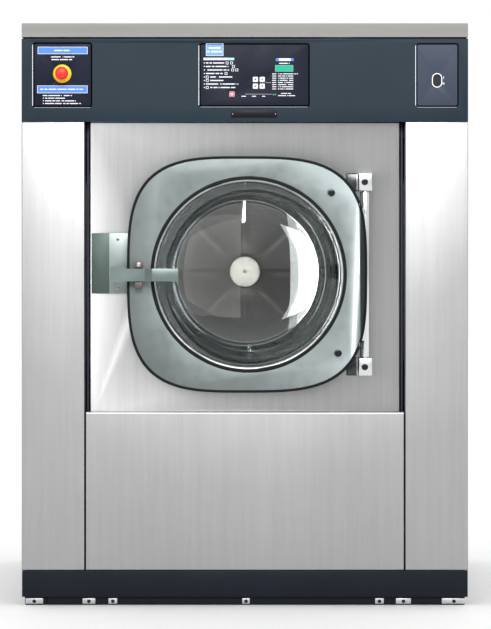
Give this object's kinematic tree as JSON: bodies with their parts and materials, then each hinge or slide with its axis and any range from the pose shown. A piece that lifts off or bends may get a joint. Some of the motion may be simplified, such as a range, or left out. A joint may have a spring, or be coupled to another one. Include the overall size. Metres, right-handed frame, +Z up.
{
  "type": "front-loading washer-extractor",
  "caption": "Floor-standing front-loading laundry machine: steel cabinet, round glass bowl door with lever handle, sprung tub, spinning drum, control fascia and anchored base.",
  "frame": {"origin": "on the floor, at the centre of the four anchor holes", "axes": "+Z up, +X to the right of someone facing the door, front faces -Y"},
  "size_m": [1.21, 1.33, 1.577],
  "materials": {
    "stainless": "brushed",
    "top_stainless": "brushed",
    "fascia_paint": "fine texture",
    "plinth_paint": "satin",
    "frame_paint": "satin",
    "zinc": "zinc plated",
    "stop_plate_film": "satin",
    "display_film": "satin",
    "switch_film": "satin",
    "black_trim": "satin",
    "lock_metal": "satin",
    "hinge_metal": "polished",
    "dark_screw": "black oxide",
    "circuit": "matt",
    "brass": "turned",
    "drain_metal": "satin",
    "boot_rubber": "matt",
    "spring_paint": "gloss",
    "damper_paint": "satin",
    "stop_yellow": "gloss",
    "stop_red": "gloss",
    "tub_steel": "pickled",
    "cast": "painted",
    "motor_paint": "gloss",
    "drum_steel": "polished",
    "cap_metal": "turned",
    "door_metal": "satin",
    "bowl_glass": "clear",
    "handle_metal": "satin",
    "ear_metal": "satin",
    "key_white": "satin",
    "key_red": "satin"
  },
  "bodies": {
    "cabinet": {"base_frame": "frame_paint", "anchor_feet": "zinc", "plinth": "plinth_paint", "front_columns": "stainless", "side_panels": "stainless", "centre_panel": "stainless", "lower_panel": "stainless", "top_panel": "top_stainless", "fascia": "fascia_paint", "estop_plate": "stop_plate_film", "display_plate": "display_film", "switch_plate": "switch_film", "name_plate": "black_trim", "rear_panel": "stainless", "portal_frame": "frame_paint", "lock_housing": "lock_metal", "hinge_brackets": "hinge_metal", "cabinet_screws": "dark_screw", "control_unit": "circuit", "inlet_valves": "brass", "drain_pipe": "drain_metal", "door_bellows": "boot_rubber", "rear_fittings": "black_trim", "suspension_springs": "spring_paint", "damper_tubes": "damper_paint", "estop_collar": "stop_yellow"},
    "tub": {"tub_shell": "tub_steel", "tub_front": "tub_steel", "bearing_housing": "cast", "bearings": "zinc", "tub_cradle": "frame_paint", "motor_body": "motor_paint", "v_belts": "boot_rubber", "damper_rods": "zinc"},
    "drum": {"drum_shell": "drum_steel", "drum_back": "drum_steel", "lifters": "drum_steel", "drum_shaft": "drum_steel", "hub_cap": "cap_metal", "drum_pulley": "cast"},
    "motor_rotor": {"motor_pulley": "cast"},
    "door": {"door_frame": "door_metal", "door_glass": "bowl_glass", "door_ring": "door_metal", "door_seal": "boot_rubber", "hinge_tube": "hinge_metal", "door_striker": "handle_metal", "handle_bracket": "ear_metal", "door_screws": "dark_screw"},
    "handle": {"door_handle": "handle_metal"},
    "bolt": {"lock_bolt": "zinc"},
    "stop_stem": {"estop_stem": "black_trim"},
    "stop_head": {"estop_head": "stop_red"},
    "rocker": {"power_rocker": "black_trim"},
    "start": {"start_key": "key_red"},
    "key_a": {"key_top_left": "key_white"},
    "key_b": {"key_top_right": "key_white"},
    "key_c": {"key_low_left": "key_white"},
    "key_d": {"key_low_right": "key_white"},
    "drain_flap": {"drain_disc": "drain_metal"}
  },
  "joints": [
    {"name": "door_swing", "type": "hinge", "parent": "cabinet", "child": "door", "pos_m": [0.326, -0.6, 0.896], "axis": [0, 0, 1], "range_deg": [0, 120]},
    {"name": "handle_pull", "type": "hinge", "parent": "door", "child": "handle", "pos_m": [-0.2855, -0.655, 0.8945], "axis": [0, 0, -1], "range_deg": [0, 12], "stiffness_Nm_per_rad": 4},
    {"name": "lock_slide", "type": "slide", "parent": "cabinet", "child": "bolt", "axis": [1, 0, 0], "range_m": [0, 0.012], "stiffness_N_per_m": 150},
    {"name": "stop_press", "type": "slide", "parent": "cabinet", "child": "stop_stem", "axis": [0, 1, 0], "range_m": [0, 0.005], "stiffness_N_per_m": 900},
    {"name": "stop_twist", "type": "hinge", "parent": "stop_stem", "child": "stop_head", "pos_m": [-0.495, -0.62, 1.44], "axis": [0, 1, 0], "range_deg": [0, 40], "stiffness_Nm_per_rad": 0.08},
    {"name": "power_rock", "type": "hinge", "parent": "cabinet", "child": "rocker", "pos_m": [0.521, -0.591, 1.422], "axis": [-1, 0, 0], "range_deg": [0, 14]},
    {"name": "start_press", "type": "slide", "parent": "cabinet", "child": "start", "axis": [0, 1, 0], "range_m": [0, 0.001], "stiffness_N_per_m": 400},
    {"name": "key_a_press", "type": "slide", "parent": "cabinet", "child": "key_a", "axis": [0, 1, 0], "range_m": [0, 0.001], "stiffness_N_per_m": 400},
    {"name": "key_b_press", "type": "slide", "parent": "cabinet", "child": "key_b", "axis": [0, 1, 0], "range_m": [0, 0.001], "stiffness_N_per_m": 400},
    {"name": "key_c_press", "type": "slide", "parent": "cabinet", "child": "key_c", "axis": [0, 1, 0], "range_m": [0, 0.001], "stiffness_N_per_m": 400},
    {"name": "key_d_press", "type": "slide", "parent": "cabinet", "child": "key_d", "axis": [0, 1, 0], "range_m": [0, 0.001], "stiffness_N_per_m": 400},
    {"name": "suspension_bounce", "type": "slide", "parent": "cabinet", "child": "tub", "axis": [0, 0, 1], "range_m": [-0.015, 0.015], "stiffness_N_per_m": 250000, "springref_m": 0.02408, "deforming": ["suspension_springs", "door_bellows"]},
    {"name": "drum_spin", "type": "hinge", "parent": "tub", "child": "drum", "pos_m": [0, 0, 0.904], "axis": [0, 1, 0], "continuous": true},
    {"name": "motor_spin", "type": "hinge", "parent": "tub", "child": "motor_rotor", "pos_m": [0, 0.4, 0.225], "axis": [0, 1, 0], "continuous": true},
    {"name": "drain_turn", "type": "hinge", "parent": "cabinet", "child": "drain_flap", "pos_m": [-0.25, 0.15, 0.1495], "axis": [1, 0, 0], "range_deg": [0, 90]}
  ],
  "couplings": [
    {"joint": "motor_spin", "follows": "drum_spin", "ratio": 4.063}
  ]
}
